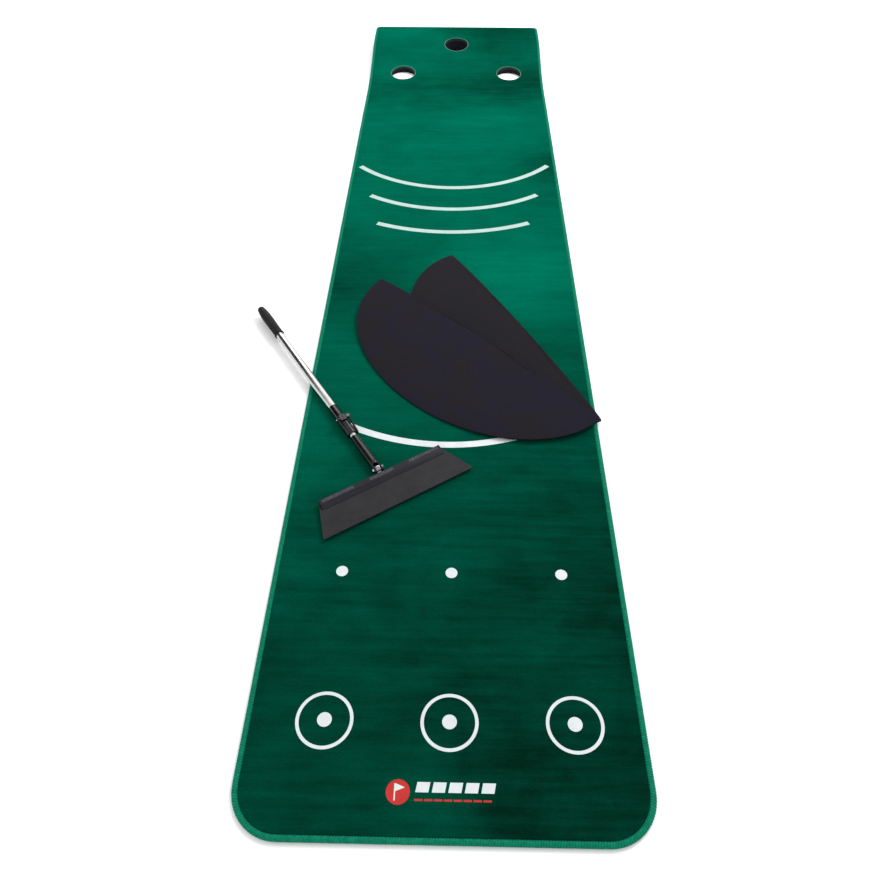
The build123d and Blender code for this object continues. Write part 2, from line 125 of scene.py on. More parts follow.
class MatLooks(bpy.types.PropertyGroup):
    """Sizes and colours of the mat."""

    pitch: length("Grid pitch", 0.008, "Distance between the turf's points")
    ripple: length("Ripple", 0.0016, "How far the mat lifts where it was rolled")
    stitch: length("Stitch", 0.0042, "Width of one turn of the binding yarn")
    # The turf's tone runs between these two: its brushed patches and streaks, and the painted
    # light across the mat.
    turf_light: colour("Turf, up", (0.0, 0.125, 0.075), "Pile that leans towards the light")
    turf_dark: colour("Turf, down", (0.0005, 0.016, 0.0085), "Pile that leans away from it")
    yarn: colour("Binding yarn", (0.005, 0.205, 0.116), "Colour of the yarn round the edge")


class MarkSizes(bpy.types.PropertyGroup):
    """Sizes and colours of the marks in the pile."""

    arc_line: length("Arc line", 0.0165, "Width of the distance arcs")
    ring_radius: length("Ring radius", 0.0472, "Outer radius of the aiming rings")
    ring_line: length("Ring line", 0.0056, "Width of the rings' line")
    dot_radius: length("Dot radius", 0.012, "Radius of the spots in the rings")
    spacing: length("Spacing", 0.2045, "Distance between ball spots side by side")
    ring_spacing: length("Ring spacing", 0.2031, "Distance between rings side by side")
    ink: colour("Mark", (0.67, 0.71, 0.72), "Colour of the white pile")
    far_ink: colour("Far arcs", (0.43, 0.555, 0.52), "White pile with some green brushed in")
    rim: colour("Cut pile", (0.1, 0.2, 0.16), "Colour of the pile where the cups are cut")
    badge: colour("Badge", (0.5, 0.035, 0.03), "Colour of the near mark's disc and line")


class FoamLooks(bpy.types.PropertyGroup):
    """Sizes and colours of the foam pieces."""

    steps: IntProperty(
        name="Crown steps", default=22, description="Rings between a pad's rim and top", min=6
    )
    rim: length("Rim", 0.003, "Thickness of a pad's rim")
    foam: colour("Foam", (0.0125, 0.0116, 0.0155), "Colour of the foam")


class ToolLooks(bpy.types.PropertyGroup):
    """Sizes and colours of the groomer."""

    tuft_pitch: length("Tuft pitch", 0.008, "Distance between the brush's tufts")
    head: colour("Head", (0.0215, 0.0208, 0.0232), "Colour of the head's plastic")
    bar: colour("Bar", (0.0135, 0.0133, 0.0175), "Colour of the bar along the head")
    ribs: colour("Ribs", (0.078, 0.078, 0.094), "Colour of the ribbed strips in the bar")
    gloss: colour("Gloss", (0.0035, 0.003, 0.0035), "Colour of the socket, collar and lever")
    rubber: colour("Grip", (0.013, 0.013, 0.014), "Colour of the soft grip")


class StageSettings(bpy.types.PropertyGroup):
    """The floor, the lights and the camera."""

    lens: number("Lens", 30.53, "Focal length in millimetres on a 36 mm sensor")
    eye: FloatVectorProperty(
        name="Camera",
        default=(0.00505, -1.78632, 1.21739),
        description="Where the camera stands",
        subtype="TRANSLATION",
    )
    look_down: number("Look down", 48.438, "Degrees that the camera looks below the horizon")
    turn: number("Turn", 1.134, "Degrees that the camera is turned from straight along the mat")
    key: number("Key light", 95.0, "Power of the large light at the upper right")
    fill: number("Fill light", 0.96, "Strength of the light from all round")


# -------- modelling helpers --------


def deselect_all():
    """Nothing stays selected, so that an operator acts only on what is chosen next."""
    for ob in bpy.context.view_layer.objects:
        ob.select_set(False)


def choose(*pieces):
    """Select these pieces and make the first one active."""
    deselect_all()
    for piece in pieces:
        piece.select_set(True)
    bpy.context.view_layer.objects.active = pieces[0]


def named(name):
    """Name the active piece and its mesh."""
    ob = bpy.context.active_object
    ob.name = name
    ob.data.name = name
    return ob


def made(name, primitive, **settings):
    """Add a primitive while nothing else is selected, and name it."""
    deselect_all()
    primitive(**settings)
    return named(name)


def circle(name, sides, radius=1, fill="NGON", place=(0, 0, 0)):
    """Add a flat circle."""
    add = bpy.ops.mesh.primitive_circle_add
    return made(name, add, vertices=sides, radius=radius, fill_type=fill, location=place)


def settle(ob):
    """Put the piece's place into its mesh."""
    choose(ob)
    bpy.ops.object.transform_apply(location=True, rotation=True, scale=True)
    return ob


def select_points(ob, test):
    """Select the mesh's points that pass the test."""
    select_none(ob, (True, False, False))
    for v in ob.data.vertices:
        v.select = test(v)


def select_faces(ob, test):
    """Select the mesh's faces that pass the test."""
    select_none(ob, (False, False, True))
    for f in ob.data.polygons:
        f.select = test(f)


def select_none(ob, mode):
    """Select nothing of the mesh, and set what edit mode selects: points, edges, faces."""
    mesh = ob.data
    for part in (mesh.vertices, mesh.edges, mesh.polygons):
        part.foreach_set("select", [False] * len(part))
    bpy.context.tool_settings.mesh_select_mode = mode


def edit(ob, *steps):
    """Run these operators on the piece in edit mode."""
    choose(ob)
    bpy.ops.object.mode_set(mode="EDIT")
    for step in steps:
        step()
    bpy.ops.object.mode_set(mode="OBJECT")
    return ob


def all_points():
    """Select the whole mesh in edit mode."""
    bpy.ops.mesh.select_all(action="SELECT")


def outwards():
    """Turn every face of a closed mesh outwards."""
    all_points()
    bpy.ops.mesh.normals_make_consistent(inside=False)


def extrude_by(step):
    """Extrude what is selected in edit mode by this step."""
    bpy.ops.mesh.extrude_region_move(TRANSFORM_OT_translate={"value": step})


def bisect(place, normal, **settings):
    """Cut all of the mesh in edit mode along a plane."""
    all_points()
    bpy.ops.mesh.bisect(plane_co=place, plane_no=normal, **settings)


def weld():
    """Merge points that lie on each other."""
    all_points()
    bpy.ops.mesh.remove_doubles(threshold=SAME_PLACE)


def with_modifier(ob, kind, **settings):
    """Add a modifier to the piece and apply it."""
    choose(ob)
    mod = ob.modifiers.new(kind.lower(), kind)
    for key, value in settings.items():
        setattr(mod, key, value)
    bpy.ops.object.modifier_apply(modifier=mod.name)
    return ob


def smooth(ob, degrees):
    """Shade smooth, except over edges sharper than this."""
    choose(ob)
    bpy.ops.object.shade_smooth_by_angle(angle=math.radians(degrees))
    return ob


def joined(name, pieces):
    """Join the pieces into one mesh."""
    choose(*pieces)
    bpy.ops.object.join()
    return named(name)


def placed(ob, matrix):
    """Move the piece's mesh by the matrix."""
    ob.data.transform(matrix)
    return ob


def dress(ob, body, slot, material, *nodes):
    """Give the piece its material and body, and hide the nodes it stands for. The slot is not
    used.
    """
    ob.data.materials.clear()
    ob.data.materials.append(material)
    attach(ob, body)
    if nodes:
        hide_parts(*nodes)
    return ob


# -------- material helpers --------


class Finish:
    """A procedural material, and short ways to add its nodes."""

    def __init__(self, name, roughness, metallic=0.0, shine=0.5):
        self.material = bpy.data.materials.new(name)
        self.material.use_nodes = True
        self.tree = self.material.node_tree
        self.shader = self.tree.nodes["Principled BSDF"]
        self.set("Roughness", roughness)
        self.set("Metallic", metallic)
        self.set("Specular IOR Level", shine)
        self.place = self.node("ShaderNodeTexCoord").outputs["Object"]

    def node(self, kind, **settings):
        node = self.tree.nodes.new(kind)
        for key, value in settings.items():
            setattr(node, key, value)
        return node

    def link(self, source, target):
        self.tree.links.new(source, target)

    def set(self, socket, value):
        self.shader.inputs[socket].default_value = value

    def textured(self, kind, vector, **values):
        """A node that takes a place, with its other sockets set to these values."""
        node = self.node(kind)
        for key, value in values.items():
            node.inputs[key].default_value = value
        self.link(vector or self.place, node.inputs["Vector"])
        return node

    def stretched(self, scale, turn=0.0):
        """Object coordinates, scaled differently each way."""
        node = self.textured("ShaderNodeMapping", None, Scale=scale, Rotation=(0, 0, turn))
        return node.outputs["Vector"]

    def noise(self, scale, detail=2.0, roughness=0.5, vector=None, distortion=0.0):
        values = {"Detail": detail, "Roughness": roughness, "Distortion": distortion}
        return self.textured("ShaderNodeTexNoise", vector, Scale=scale, **values).outputs["Fac"]

    def cells(self, scale):
        return self.textured("ShaderNodeTexVoronoi", None, Scale=scale).outputs["Distance"]

    def remap(self, value, low, high, to_low=0.0, to_high=1.0, smoothly=True):
        steps = "SMOOTHSTEP" if smoothly else "LINEAR"
        node = self.node("ShaderNodeMapRange", interpolation_type=steps)
        self.link(value, node.inputs["Value"])
        ends = {"From Min": low, "From Max": high, "To Min": to_low, "To Max": to_high}
        for key, number in ends.items():
            node.inputs[key].default_value = number
        return node.outputs["Result"]

    def feed(self, socket, value):
        """Set the socket to a number or a colour, or link it to another node."""
        if isinstance(value, (int, float, tuple)):
            socket.default_value = value
        else:
            self.link(value, socket)

    def math(self, operation, a, b):
        node = self.node("ShaderNodeMath", operation=operation)
        self.feed(node.inputs[0], a)
        self.feed(node.inputs[1], b)
        return node.outputs["Value"]

    def swing(self, pattern, share):
        """The pattern about zero instead of about a half, times this share."""
        return self.math("MULTIPLY", self.math("SUBTRACT", pattern, 0.5), share)

    def mix(self, factor, a, b, blend="MIX"):
        node = self.node("ShaderNodeMix", data_type="RGBA", blend_type=blend)
        for place, value in ((0, factor), (6, a), (7, b)):  # the sockets for colours
            self.feed(node.inputs[place], value)
        return node.outputs[2]

    def spot(self, x, y, radius, strength):
        """A soft round patch about a point of the mat, as strong as this in its middle."""
        apart = self.node("ShaderNodeVectorMath", operation="DISTANCE")
        self.link(self.stretched((1, 1, 0)), apart.inputs[0])
        apart.inputs[1].default_value = (x, y, 0)
        ragged = self.math("MULTIPLY", self.noise(5.0, 4.0, 0.6), 0.3 * radius)
        away = self.math("ADD", apart.outputs["Value"], ragged)
        return self.remap(away, 0.25 * radius, 1.15 * radius, strength, 0.0)

    def axis(self, letter):
        """One object coordinate."""
        apart = self.node("ShaderNodeSeparateXYZ")
        self.link(self.place, apart.inputs["Vector"])
        return apart.outputs[letter]

    def colour(self, value):
        self.link(value, self.shader.inputs["Base Color"])

    def rough(self, value):
        self.link(value, self.shader.inputs["Roughness"])

    def bump(self, height, distance, strength, before=None):
        node = self.node("ShaderNodeBump")
        node.inputs["Strength"].default_value = strength
        node.inputs["Distance"].default_value = distance
        self.link(height, node.inputs["Height"])
        if before:
            self.link(before, node.inputs["Normal"])
        self.link(node.outputs["Normal"], self.shader.inputs["Normal"])
        return node.outputs["Normal"]


def rgba(colour, share=1.0):
    """A colour setting as four numbers, made lighter or darker by share."""
    return (*[min(1.0, c * share) for c in colour], 1.0)


# where hands and feet turned the pile: x, y, radius and how much lighter it is
TURNED_PILE = (
    (0.2, -0.1, 0.34, 0.32),
    (-0.33, -0.08, 0.38, -0.3),
    (0.14, 0.72, 0.32, 0.14),
    (0.32, 0.48, 0.2, -0.2),
    (0.0, 1.02, 0.26, -0.2),
    (0.26, 1.06, 0.26, -0.3),
    (-0.28, 0.95, 0.24, -0.18),
    (-0.22, 1.45, 0.22, 0.12),
    (0.14, 1.46, 0.26, -0.36),
    (-0.2, -0.6, 0.26, 0.12),
    (-0.01, -1.46, 0.12, 0.16),
)


def turf_finish(looks):
    """Cut pile: patches and streaks where it was brushed, fine fibres, and painted light across
    the mat.
    """
    fin = Finish("turf_pile_green", roughness=0.95, shine=0.0)
    fin.set("Sheen Weight", 0.06)
    fin.set("Sheen Roughness", 0.5)
    fin.set("Sheen Tint", rgba(looks.turf_light, 3.0))
    patches = fin.noise(3.4, 5.0, 0.62, distortion=0.6)
    mottles = fin.noise(16.0, 4.0, 0.6, vector=fin.stretched((0.7, 1.4, 1.0)))
    streaks = fin.noise(1.0, 5.0, 0.65, vector=fin.stretched((4.5, 70.0, 4.0)))
    broad = fin.noise(1.0, 3.0, 0.55, vector=fin.stretched((1.3, 8.0, 2.0)))
    swept = fin.swing(patches, 0.6)
    for turned in TURNED_PILE:
        swept = fin.math("ADD", swept, fin.spot(*turned))
    for share, pattern in ((0.4, streaks), (0.35, broad), (0.3, mottles)):
        swept = fin.math("ADD", swept, fin.swing(pattern, share))
    # Painted light: the pile is painted lighter towards the far end, a little darker again over
    # the last part past the ripples, and darker on its right.
    along = fin.axis("Y")
    far = fin.remap(along, -1.5, 0.2, 0.11, 0.64)
    past = fin.remap(along, 0.7, 1.1, 0.0, -0.08)
    right = fin.remap(fin.axis("X"), -0.3, 0.3, 0.08, -0.06, smoothly=False)
    lean = fin.math("ADD", fin.math("ADD", swept, past), fin.math("ADD", far, right))
    tone = fin.mix(lean, rgba(looks.turf_dark), rgba(looks.turf_light))
    fibres = fin.noise(900.0, 2.0, 0.6)
    tufts = fin.noise(260.0, 3.0, 0.65)
    speck = fin.remap(fin.math("ADD", fibres, tufts), 0.7, 1.3, 0.82, 1.18, smoothly=False)
    grey = fin.node("ShaderNodeCombineColor")
    for channel in grey.inputs:
        fin.link(speck, channel)
    fin.colour(fin.mix(1.0, tone, grey.outputs["Color"], blend="MULTIPLY"))
    first = fin.bump(tufts, 0.0011, 0.7)
    fin.bump(fibres, 0.0006, 0.8, before=first)
    return fin.material


def print_finish(name, colour):
    """Dyed pile of one colour, for the marks."""
    fin = Finish(name, roughness=0.85, shine=0.15)
    fibres = fin.noise(820.0, 2.0, 0.6)
    worn = fin.noise(45.0, 3.0, 0.6)
    tone = fin.mix(fin.remap(worn, 0.3, 0.75), rgba(colour, 0.9), rgba(colour))
    speck = fin.remap(fibres, 0.3, 0.7, 0.0, 0.16)
    fin.colour(fin.mix(speck, tone, rgba(colour, 0.55)))
    fin.bump(fibres, 0.0006, 0.7)
    return fin.material


def yarn_finish(looks):
    """Sewn yarn: fine threads inside each turn, and painted shade in the grooves between turns.
    """
    fin = Finish("binding_yarn", roughness=0.85, shine=0.05)
    fin.set("Sheen Weight", 0.1)
    fin.set("Sheen Tint", rgba(looks.yarn, 3.0))
    threads = fin.noise(700.0, 3.0, 0.6)
    turns = fin.noise(170.0, 2.0, 0.5)
    patches = fin.noise(5.0, 2.0, 0.5)
    tone = fin.mix(fin.remap(turns, 0.3, 0.7), rgba(looks.yarn, 0.75), rgba(looks.yarn, 1.1))
    tone = fin.mix(fin.remap(patches, 0.35, 0.7, 0.0, 0.35), tone, rgba(looks.yarn, 0.8))
    tone = fin.mix(fin.remap(threads, 0.35, 0.7, 0.0, 0.35), tone, rgba(looks.yarn, 0.45))
    painted_groove_shade = fin.node("ShaderNodeAttribute", attribute_name="painted_groove_shade").outputs["Fac"]
    # Painted shade: the yarn is darkened where the mask marks the grooves between its turns.
    fin.colour(fin.mix(fin.remap(painted_groove_shade, 0.25, 1.0, 0.0, 0.36), tone, rgba(looks.yarn, 0.3)))
    fin.bump(threads, 0.0005, 0.7)
    return fin.material


def backing_finish():
    """Dark rubber with a field of small grip dots."""
    fin = Finish("backing_rubber", roughness=0.7)
    dots = fin.cells(160.0)
    dot = fin.remap(dots, 0.25, 0.45, 1.0, 0.0)
    dust = fin.noise(30.0, 4.0, 0.6)
    tone = fin.mix(dust, (0.018, 0.018, 0.019, 1), (0.04, 0.039, 0.038, 1))
    fin.colour(fin.mix(dot, tone, (0.012, 0.012, 0.013, 1)))
    fin.rough(fin.remap(dust, 0.3, 0.7, 0.6, 0.85))
    fin.bump(dot, 0.0006, 0.8)
    return fin.material


def foam_finish(looks, name, pore=420.0, cool=1.3):
    """Closed-cell foam: fine pores with painted shade in them, and faint warm and cool patches.
    """
    fin = Finish(name, roughness=0.92, shine=0.06)
    pores = fin.cells(pore * 1.8)
    grain = fin.noise(pore, 3.0, 0.7)
    patches = fin.noise(9.0, 3.0, 0.55, distortion=0.6)
    red, green, blue = looks.foam
    warm = (red * 1.14, green * 1.03, blue * 0.97, 1)
    bluish = (red * 0.97, green, blue * cool, 1)
    tone = fin.mix(fin.remap(patches, 0.36, 0.64), warm, bluish)
    # Painted shade: the foam is darkened in its pores.
    painted_pore_shade = fin.remap(pores, 0.05, 0.45, 0.55, 0.0)
    fin.colour(fin.mix(painted_pore_shade, tone, rgba(looks.foam, 0.45)))
    fin.rough(fin.remap(grain, 0.3, 0.7, 0.85, 0.98))
    first = fin.bump(pores, 0.00035, 0.6)
    fin.bump(grain, 0.0003, 0.6, before=first)
    return fin.material


def moulded_finish(name, colour, roughness, grain_scale, depth, shine=0.5):
    """Moulded plastic: an even grain, faint flow clouds and rubbed patches."""
    fin = Finish(name, roughness, shine=shine)
    grain = fin.noise(grain_scale, 3.0, 0.6)
    clouds = fin.noise(14.0, 3.0, 0.5, distortion=0.8)
    rubbed = fin.noise(60.0, 5.0, 0.7)
    fin.colour(fin.mix(fin.remap(clouds, 0.3, 0.7), rgba(colour, 0.88), rgba(colour, 1.14)))
    fin.rough(fin.remap(rubbed, 0.35, 0.7, roughness - 0.05, roughness + 0.08))
    fin.bump(grain, depth, 0.6)
    return fin.material


def rubber_finish(name, colour, stipple):
    """Soft rubber with a fine stipple."""
    fin = Finish(name, roughness=0.7, shine=0.2)
    cells = fin.cells(stipple)
    dust = fin.noise(40.0, 4.0, 0.6)
    tone = fin.mix(fin.remap(dust, 0.35, 0.75), rgba(colour, 0.85), rgba(colour, 1.45))
    fin.colour(fin.mix(fin.remap(cells, 0.2, 0.6, 0.0, 0.55), tone, rgba(colour, 0.25)))
    fin.rough(fin.remap(dust, 0.3, 0.7, 0.6, 0.82))
    fin.bump(cells, 0.00025, 0.7)
    return fin.material


def metal_finish(name, colour, roughness, brushed=0.0):
    """Bright metal with fine lines along the handle and a few smears."""
    fin = Finish(name, roughness, metallic=1.0)
    turn = -math.atan2(ALONG_HANDLE.y, ALONG_HANDLE.x)
    lines = fin.noise(1.0, 3.0, 0.6, vector=fin.stretched((30.0, 1800.0, 1800.0), turn))
    smears = fin.noise(35.0, 4.0, 0.65)
    fin.colour(fin.mix(fin.remap(smears, 0.35, 0.7), rgba(colour, 0.9), rgba(colour)))
    mostly_lines = fin.math("MULTIPLY", lines, 0.75)
    worn = fin.math("ADD", mostly_lines, fin.math("MULTIPLY", smears, 0.25))
    fin.rough(fin.remap(worn, 0.3, 0.7, roughness - 0.03, roughness + 0.05))
    if brushed:
        fin.bump(lines, brushed, 0.5)
    return fin.material


def plain_finish(name, roughness, grey):
    """A plain dull grey, for the stage."""
    fin = Finish(name, roughness, shine=0.0)
    fin.set("Base Color", (grey, grey, grey, 1.0))
    return fin.material


def aimed(place, target):
    """The matrix of something at this place that looks at the target."""
    aim = Vector(target) - Vector(place)
    return Matrix.Translation(place) @ aim.to_track_quat("-Z", "Y").to_matrix().to_4x4()


# -------- the mat --------


# each ripple's place along the mat, and its width
RIPPLES = ((0.60, 0.035), (0.72, 0.045), (0.85, 0.04))


def ripple_at(x, y):
    """How far the mat lifts where it was rolled."""
    lift = 0.0
    for middle, width in RIPPLES:
        bow = middle + 0.02 * math.sin(5 * x)
        wander = 0.7 + 0.6 * noise.noise((3 * x, middle, 0))
        lift += math.exp(-(((y - bow) / width) ** 2)) * wander
    return bpy.context.scene.mat_looks.ripple * lift


def mat_height(y, height):
    """Height over the floor of a face of the mat, that far above its underside."""
    rise = RAMP_HEIGHT - (FOOT_RADIUS + BROW_RADIUS) * (1 - math.cos(RAMP_ANGLE))
    straight = rise / math.sin(RAMP_ANGLE)
    turns = (FOOT_RADIUS + BROW_RADIUS) * math.sin(RAMP_ANGLE)
    brow_y = RAMP_START + turns + straight * math.cos(RAMP_ANGLE)
    foot, brow = FOOT_RADIUS - height, BROW_RADIUS + height
    if y <= RAMP_START:
        return height
    if y <= RAMP_START + foot * math.sin(RAMP_ANGLE):
        return FOOT_RADIUS - math.sqrt(foot**2 - (y - RAMP_START) ** 2)
    if y <= brow_y - brow * math.sin(RAMP_ANGLE):
        start = FOOT_RADIUS - foot * math.cos(RAMP_ANGLE)
        return start + (y - RAMP_START - foot * math.sin(RAMP_ANGLE)) * math.tan(RAMP_ANGLE)
    if y <= brow_y:
        return RAMP_HEIGHT - BROW_RADIUS + math.sqrt(brow**2 - (brow_y - y) ** 2)
    return RAMP_HEIGHT + height


def outside_corner(x, y, inset):
    """The corner arc that this point lies outside of, as (centre, radius), or None."""
    half_x, half_y = HALF_WIDTH - inset, HALF_LENGTH - inset
    radius = (NEAR_CORNER if y < 0 else FAR_CORNER) - inset
    centre = Vector((half_x - radius, half_y - radius))
    if abs(x) <= centre.x or abs(y) <= centre.y:
        return None
    centre = Vector((math.copysign(centre.x, x), math.copysign(centre.y, y)))
    if (Vector((x, y)) - centre).length <= radius:
        return None
    return centre, radius


def inside_cup(x, y):
    """The cup that this point lies inside of, as (centre, radius), or None."""
    for cup in CUPS:
        if (Vector((x, y)) - Vector(cup)).length < CUP_RADIUS:
            return Vector(cup), CUP_RADIUS
    return None


def mat_sheet(name, height, thick, inset, pitch, fuzz=0.0):
    """A sheet with rounded corners and round cups that follows the ramp."""
    half_x, half_y = HALF_WIDTH - inset, HALF_LENGTH - inset
    across, along = round(2 * half_x / pitch), round(2 * half_y / pitch)
    add = bpy.ops.mesh.primitive_grid_add
    ob = made(name, add, x_subdivisions=across, y_subdivisions=along, size=2)
    edit(ob, all_points, lambda: bpy.ops.transform.resize(value=(half_x, half_y, 1)))

    def trimmed(co):
        return outside_corner(co.x, co.y, inset) or inside_cup(co.x, co.y)

    cut = [bool(trimmed(v.co)) for v in ob.data.vertices]
    select_faces(ob, lambda face: all(cut[i] for i in face.vertices))
    edit(ob, lambda: bpy.ops.mesh.delete(type="FACE"))
    for v in ob.data.vertices:
        arc = trimmed(v.co)
        if arc:
            centre, radius = arc
            v.co.xy = centre + (v.co.xy - centre).normalized() * radius
        v.co.z = mat_height(v.co.y, height) + ripple_at(v.co.x, v.co.y)
        at_side = abs(v.co.x) > half_x - 1e-4
        if fuzz and not at_side:
            v.co.z += fuzz * noise.noise(v.co * 60)
    with_modifier(ob, "SOLIDIFY", thickness=thick, offset=-1.0, use_even_offset=True)
    return smooth(edit(ob, outwards), 50)


def flat_size():
    """Width and length of the sheet inside the binding, laid out flat.

    The mat climbs the ramp, so it is longer than its footprint.
    """
    steps = 600
    line = [-HALF_LENGTH + 2 * HALF_LENGTH * i / steps for i in range(steps + 1)]
    rises = (mat_height(b, 0) - mat_height(a, 0) for a, b in zip(line, line[1:]))
    length = sum(math.hypot(b - a, rise) for a, b, rise in zip(line, line[1:], rises))
    return 2 * (HALF_WIDTH - BAND_WIDTH), length - 2 * BAND_WIDTH


class PUTTING_OT_turf(bpy.types.Operator):
    """Make the cut pile, with its cups and the ripple left by rolling"""

    bl_idname = "putting.turf"
    bl_label = "Turf"

    def execute(self, context):
        looks = context.scene.mat_looks
        pile = MAT_THICK - BACKING_THICK
        turf = mat_sheet("turf", MAT_THICK, pile, BAND_WIDTH, looks.pitch, fuzz=0.0001)
        dress(turf, "mat", "turf", turf_finish(looks), "turf_pile")
        flat_size()
        return {"FINISHED"}


class PUTTING_OT_backing(bpy.types.Operator):
    """Make the rubber sheet under the pile"""

    bl_idname = "putting.backing"
    bl_label = "Backing"

    def execute(self, context):
        pitch = 2 * context.scene.mat_looks.pitch
        sheet = mat_sheet("rubber_backing", BACKING_THICK, BACKING_THICK, BAND_WIDTH, pitch)
        dress(sheet, "mat", "backing", backing_finish(), "non_slip_backing")
        flat_size()
        return {"FINISHED"}


def corner_points(x_sign, y_sign, radius, half_x, half_y, count):
    """Points round one corner, as (x, y)."""
    middle_x, middle_y = x_sign * (half_x - radius), y_sign * (half_y - radius)
    first = math.atan2(y_sign, 0) if x_sign * y_sign < 0 else math.atan2(0, x_sign)
    turns = [first + math.pi / 2 * i / count for i in range(count + 1)]
    return [(middle_x + radius * math.cos(t), middle_y + radius * math.sin(t)) for t in turns]


def binding_path(inset, step):
    """The middle of the binding, anticlockwise from the near left, as (x, y) points."""
    half_x, half_y = HALF_WIDTH - inset, HALF_LENGTH - inset
    near, far = NEAR_CORNER - inset, FAR_CORNER - inset
    straight = 2 * half_y - near - far
    rows = int(straight / step)
    side = [-half_y + near + straight * i / rows for i in range(1, rows)]
    right = corner_points(1, -1, near, half_x, half_y, 16) + [(half_x, y) for y in side]
    right += corner_points(1, 1, far, half_x, half_y, 8)
    left = corner_points(-1, 1, far, half_x, half_y, 8) + [(-half_x, y) for y in reversed(side)]
    left += corner_points(-1, -1, near, half_x, half_y, 16)
    return right + left


YARN_PROUD = 0.0007  # how far a turn's ridge stands over its grooves
YARN_OVERHANG = 0.0002  # how far the grooves stand past the band's width on each side


class PUTTING_OT_binding(bpy.types.Operator):
    """Sew the yarn binding round the edge, one turn of yarn after another"""

    bl_idname = "putting.binding"
    bl_label = "Binding"

    def execute(self, context):
        looks = context.scene.mat_looks
        middle = MAT_THICK / 2
        points = [
            (x, y, mat_height(y, middle) + ripple_at(x, y))
            for x, y in binding_path(BAND_WIDTH / 2, 0.02)
        ]
        route = bpy.data.curves.new("binding_route", "CURVE")
        route.dimensions = "3D"
        route.twist_mode = "Z_UP"
        line = route.splines.new("POLY")
        line.points.add(len(points) - 1)
        for point, co in zip(line.points, points):
            point.co = (*co, 1)
        line.use_cyclic_u = True
        guide = bpy.data.objects.new("binding_route", route)
        context.scene.collection.objects.link(guide)
        following = points[1:] + points[:1]
        around = sum((Vector(b) - Vector(a)).length for a, b in zip(points, following))
        count = round(around / looks.stitch)
        band = self.turn_of_yarn(around / count)
        by = {"use_relative_offset": False, "use_constant_offset": True}
        by["constant_offset_displace"] = (around / count, 0, 0)
        merged = {"use_merge_vertices": True, "merge_threshold": SAME_PLACE}
        with_modifier(band, "ARRAY", fit_type="FIXED_COUNT", count=count, **by, **merged)
        with_modifier(band, "CURVE", object=guide, deform_axis="POS_X")
        edit(band, weld, outwards)
        bpy.data.objects.remove(guide)
        bpy.data.curves.remove(route)
        smooth(band, 28)
        dress(band, "mat", "binding", yarn_finish(looks), "edge_binding", "ramp_binding")
        return {"FINISHED"}

    def turn_of_yarn(self, pitch):
        """One turn of yarn along X: a ridge between two grooves, slanted and squared off."""
        shape = {"vertices": 12, "radius": 1, "depth": pitch, "end_fill_type": "NOTHING"}
        laid = {"rotation": (0, math.pi / 2, 0), "location": (pitch / 2, 0, 0)}
        band = settle(made("binding", bpy.ops.mesh.primitive_cylinder_add, **shape, **laid))
        edit(band, lambda: bisect((pitch / 2, 0, 0), (1, 0, 0)))
        # A mask of the groove points, where the yarn's material paints shade.
        painted_groove_shade = band.data.attributes.new("painted_groove_shade", "FLOAT", "POINT")
        for v, deep in zip(band.data.vertices, painted_groove_shade.data):
            on_ridge = abs(v.co.x - pitch / 2) < pitch / 4
            deep.value = 0.0 if on_ridge else 1.0
            ridge = YARN_PROUD if on_ridge else 0.0
            slant = 0.35 * pitch * v.co.y
            width = BAND_WIDTH / 2 + YARN_OVERHANG + ridge
            tall = MAT_THICK / 2 - YARN_PROUD + ridge
            square = 1 / max(0.8, abs(v.co.y) ** 3 + abs(v.co.z) ** 3)
            v.co = (v.co.x + slant, v.co.y * width, v.co.z * tall * min(1.0, square))
        return band


class PUTTING_OT_ramp(bpy.types.Operator):
    """Cut the foam ramp, with its cups, from a block"""

    bl_idname = "putting.ramp"
    bl_label = "Foam ramp"

    def execute(self, context):
        looks = context.scene.foam_looks
        size = RAMP_HIGH - RAMP_LOW
        middle = (RAMP_LOW + RAMP_HIGH) / 2
        add = bpy.ops.mesh.primitive_cube_add
        ramp = settle(made("foam_ramp", add, size=1, location=middle, scale=size))
        slices = 40
        for i in range(1, slices):
            at = RAMP_LOW.y + size.y * i / slices
            edit(ramp, lambda: bisect((0, at, 0), (0, 1, 0)))
        for v in ramp.data.vertices:
            if v.co.z > RAMP_HEIGHT / 2:
                v.co.z = mat_height(v.co.y, 0)
        for x, y in CUPS:
            shape = {"vertices": 96, "radius": CUP_RADIUS, "depth": 4 * RAMP_HEIGHT}
            add = bpy.ops.mesh.primitive_cylinder_add
            cutter = settle(made("cup_cutter", add, location=(x, y, 0), **shape))
            cut = {"operation": "DIFFERENCE", "solver": "EXACT"}
            with_modifier(ramp, "BOOLEAN", object=cutter, **cut)
            bpy.data.objects.remove(cutter)
        edit(ramp, weld, outwards)
        rounding = {"segments": 2, "limit_method": "ANGLE", "angle_limit": 0.8}
        with_modifier(ramp, "BEVEL", width=0.0008, **rounding)
        smooth(ramp, 40)
        dress(ramp, "mat", "foam", foam_finish(looks, "foam_ramp_grey", 300.0), "end_ramp")
        return {"FINISHED"}


# -------- the marks in the pile --------

MARK_LOW = 0.0003  # how deep the dyed pile starts under the turf's face
MARK_PROUD = 0.0002  # how far it stands over it
RIM_WIDE = 0.0016  # how far a cup's cut pile shows round it
MARKS_MIDDLE = 0.008  # the spots and rings are centred a little right of the mat's middle
SPOTS_Y = -1.0405
RINGS_Y = -1.3203
BADGE_Y = -1.4285
BAR = ((-0.002, 0), (0.018, 0), (0.021, 0.015), (0.001, 0.015))  # corners of a slanted bar
